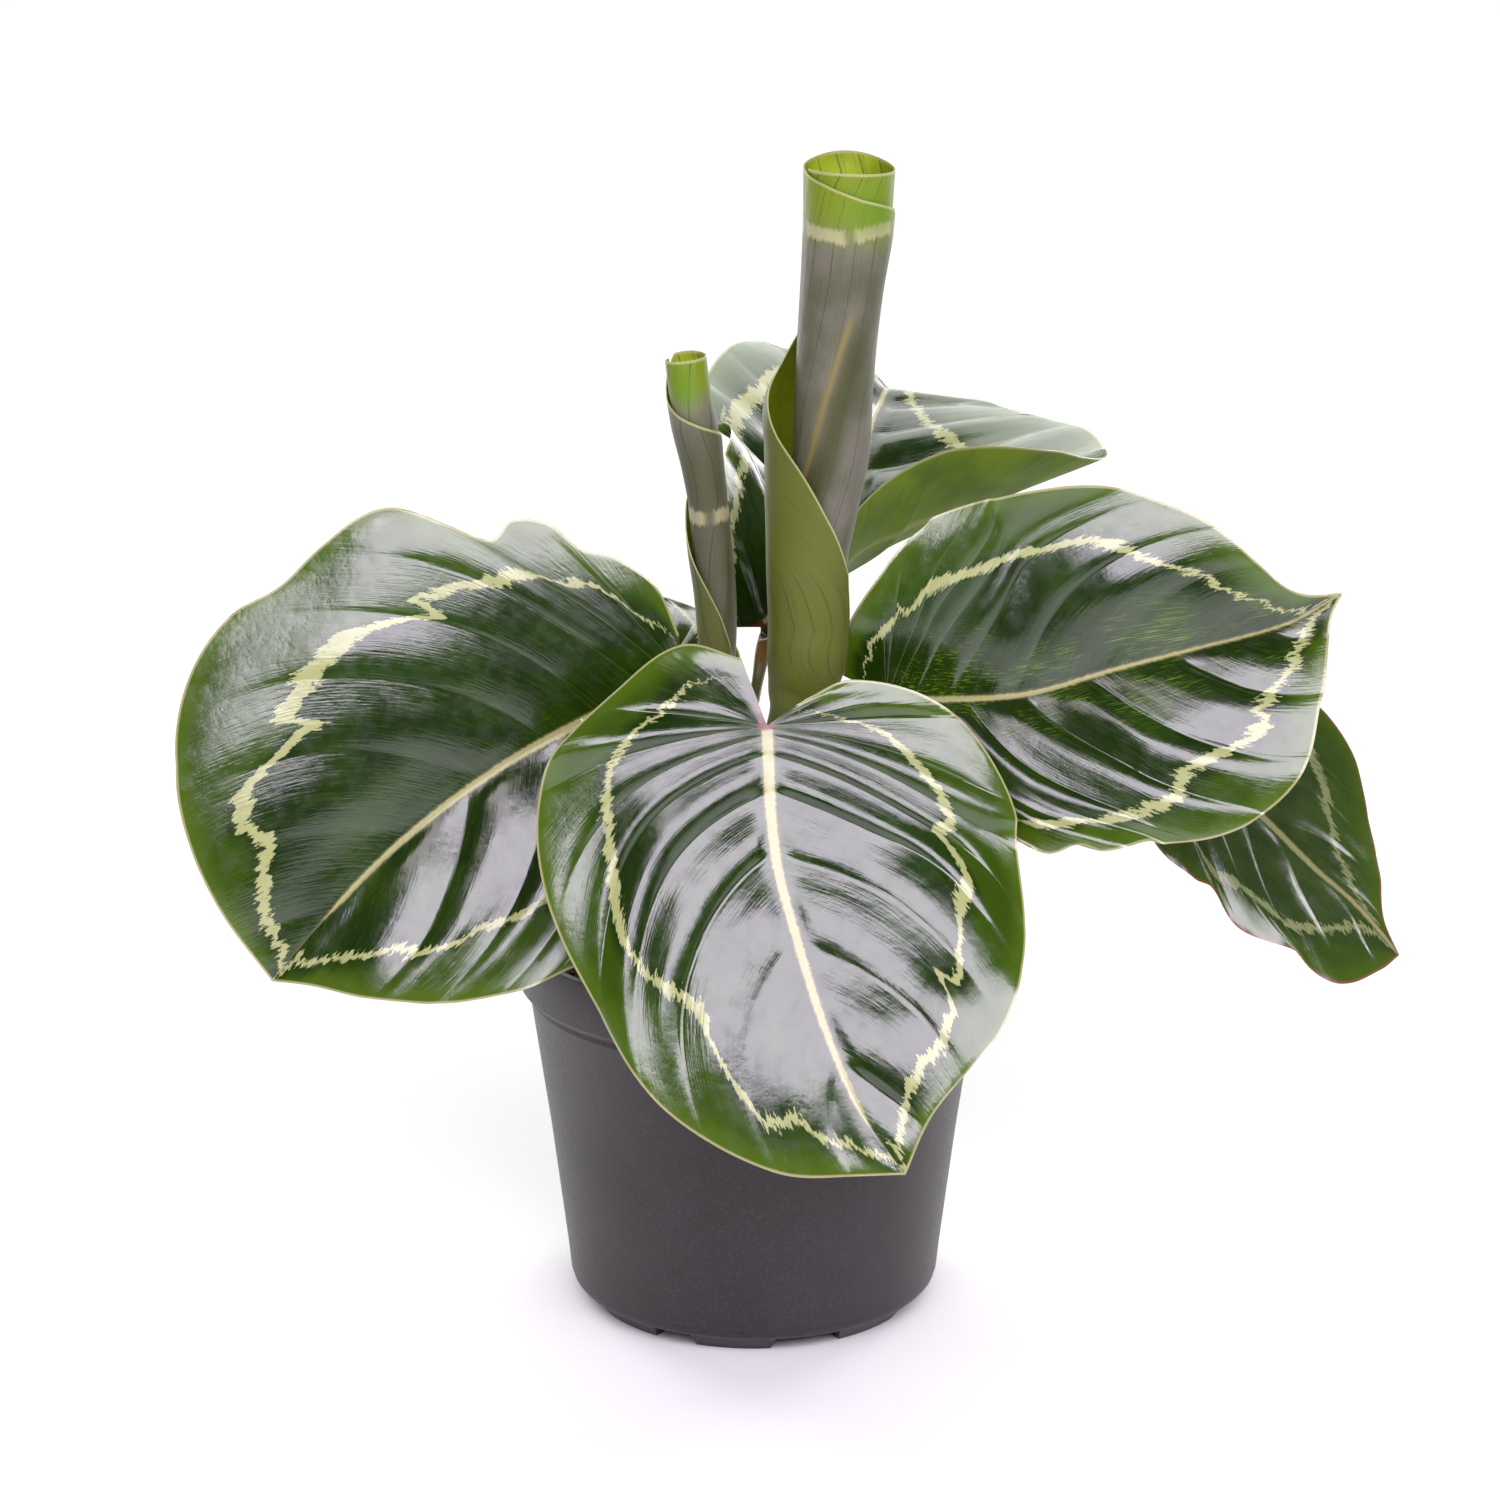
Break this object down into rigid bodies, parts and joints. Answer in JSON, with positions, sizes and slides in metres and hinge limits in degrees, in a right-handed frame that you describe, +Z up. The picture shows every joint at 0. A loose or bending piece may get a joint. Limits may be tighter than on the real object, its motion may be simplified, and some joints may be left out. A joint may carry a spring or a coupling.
{
  "type": "potted calathea",
  "caption": "Calathea houseplant with broad pleated ring-marked leaves and upright rolled young leaves on short stalks, in a round grower's pot of soil.",
  "frame": {"origin": "middle of the pot's underside, on the surface it stands on", "axes": "+Z up along the pot's axis; -Y towards the viewer of the picture; +X to the viewer's right"},
  "size_m": [0.3132, 0.2369, 0.292],
  "materials": {
    "pot_plastic": "moulded mauve-grey plastic, matt",
    "soil": "damp dark potting soil, rough",
    "leaf_blade": "dark green, pleated and satin, with a feathered cream ring, cream midrib and thin pale margin",
    "rolled_leaf": "pale grey-green underside outwards, with yellow-green edges and cream marks",
    "leaf_stalk": "smooth olive to reddish brown, satin"
  },
  "bodies": {
    "root": {"pot": "pot_plastic", "soil": "soil", "leaf_front_blade": "leaf_blade", "leaf_front_stalk": "leaf_stalk", "leaf_left_blade": "leaf_blade", "leaf_left_stalk": "leaf_stalk", "leaf_right_blade": "leaf_blade", "leaf_right_stalk": "leaf_stalk", "leaf_far_right_blade": "leaf_blade", "leaf_far_right_stalk": "leaf_stalk", "leaf_back_blade": "leaf_blade", "leaf_back_stalk": "leaf_stalk", "leaf_back_left_blade": "leaf_blade", "leaf_back_left_stalk": "leaf_stalk", "rolled_leaf_tall": "rolled_leaf", "rolled_leaf_tall_stalk": "leaf_stalk", "rolled_leaf_short": "rolled_leaf", "rolled_leaf_short_stalk": "leaf_stalk"}
  },
  "joints": []
}
